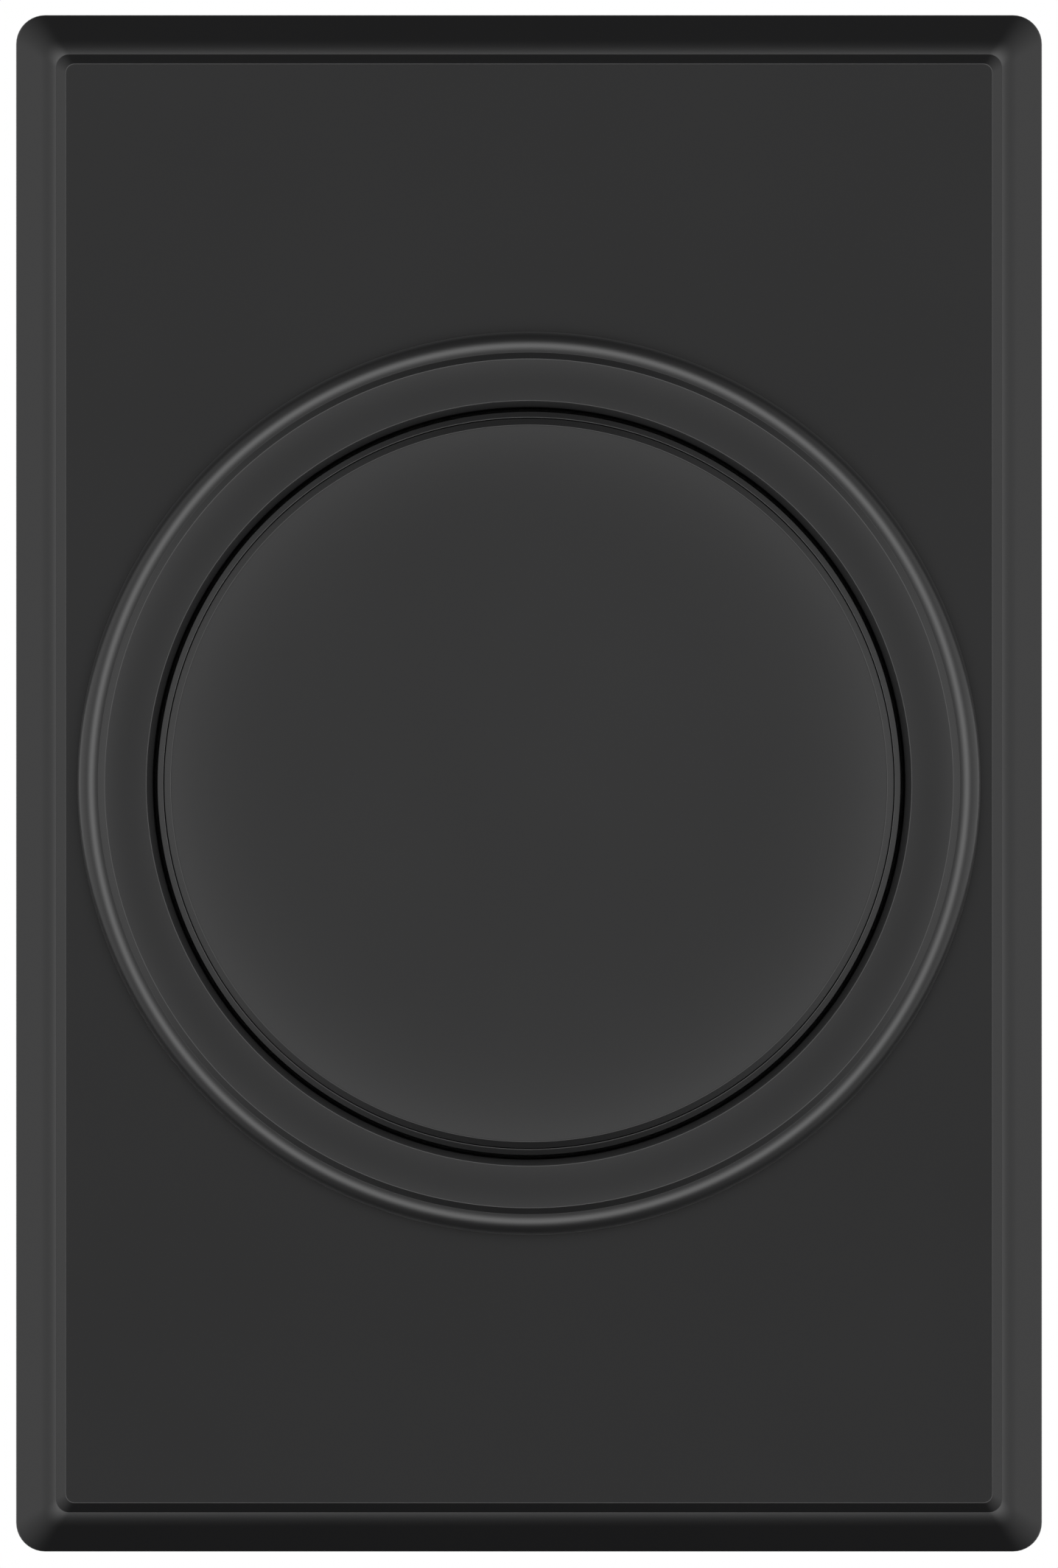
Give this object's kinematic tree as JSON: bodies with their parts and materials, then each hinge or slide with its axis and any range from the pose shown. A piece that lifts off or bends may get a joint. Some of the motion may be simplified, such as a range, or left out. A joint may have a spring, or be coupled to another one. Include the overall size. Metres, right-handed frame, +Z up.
{
  "type": "doorbell push",
  "caption": "Wall-mounted wireless doorbell push: stepped rectangular faceplate, round bezel ring and a large sprung round push button, hung on a slotted wall plate.",
  "frame": {"origin": "centre of the wall plate's back face, on the wall", "axes": "+Z up the doorbell's height, -Y out from the wall towards the person, +Y into the wall, +X to the viewer's right"},
  "size_m": [0.0636, 0.018, 0.0952],
  "materials": {
    "graphite_finish": "satin charcoal-black powder coat",
    "blackened_steel": "black oxide",
    "seal_rubber": "matt moulded rubber",
    "spring_steel": "drawn wire and pressed spring steel",
    "bright_steel": "bright nickel-plated steel",
    "black_plastic": "fine textured moulded plastic",
    "red_plastic": "moulded plastic",
    "zinc_plate": "zinc-plated pressed steel",
    "board_laminate": "green solder mask on glass-epoxy laminate",
    "passive_ceramic": "ceramic chip with tinned ends",
    "copper_wire": "enamelled copper wire"
  },
  "bodies": {
    "housing": {"faceplate": "graphite_finish", "bezel_ring": "graphite_finish", "bezel_gasket": "seal_rubber", "bezel_clip": "spring_steel", "return_springs": "spring_steel", "guide_pins": "bright_steel", "rear_case": "black_plastic", "case_seal": "seal_rubber", "case_screws": "zinc_plate", "circuit_board": "board_laminate", "board_screws": "zinc_plate", "switch_body": "black_plastic", "switch_cover": "bright_steel", "switch_spring": "spring_steel", "controller_chip": "black_plastic", "crystal_can": "bright_steel", "antenna_coil": "copper_wire", "board_passives": "passive_ceramic", "coin_cell": "bright_steel", "battery_clip": "zinc_plate", "battery_pad": "zinc_plate", "battery_seal": "seal_rubber", "wall_plate": "zinc_plate", "wall_gasket": "seal_rubber", "lock_screw": "blackened_steel"},
    "push_button": {"push_cap": "graphite_finish", "button_carrier": "black_plastic", "cap_screws": "bright_steel", "stop_ring": "seal_rubber"},
    "plunger": {"switch_plunger": "red_plastic"},
    "battery_door": {"battery_cover": "black_plastic"}
  },
  "joints": [
    {"name": "button_press", "type": "slide", "parent": "housing", "child": "push_button", "axis": [0, 1, 0], "range_m": [0, 0.0015], "stiffness_N_per_m": 800, "springref_m": -0.002, "deforming": ["return_springs", "switch_spring"]},
    {"name": "plunger_press", "type": "slide", "parent": "housing", "child": "plunger", "axis": [0, 1, 0], "range_m": [0, 0.0015]},
    {"name": "battery_cover_turn", "type": "hinge", "parent": "housing", "child": "battery_door", "pos_m": [0, -0.002, 0], "axis": [0, 1, 0], "range_deg": [0, 60]}
  ],
  "couplings": [
    {"joint": "plunger_press", "follows": "button_press", "ratio": 1}
  ]
}
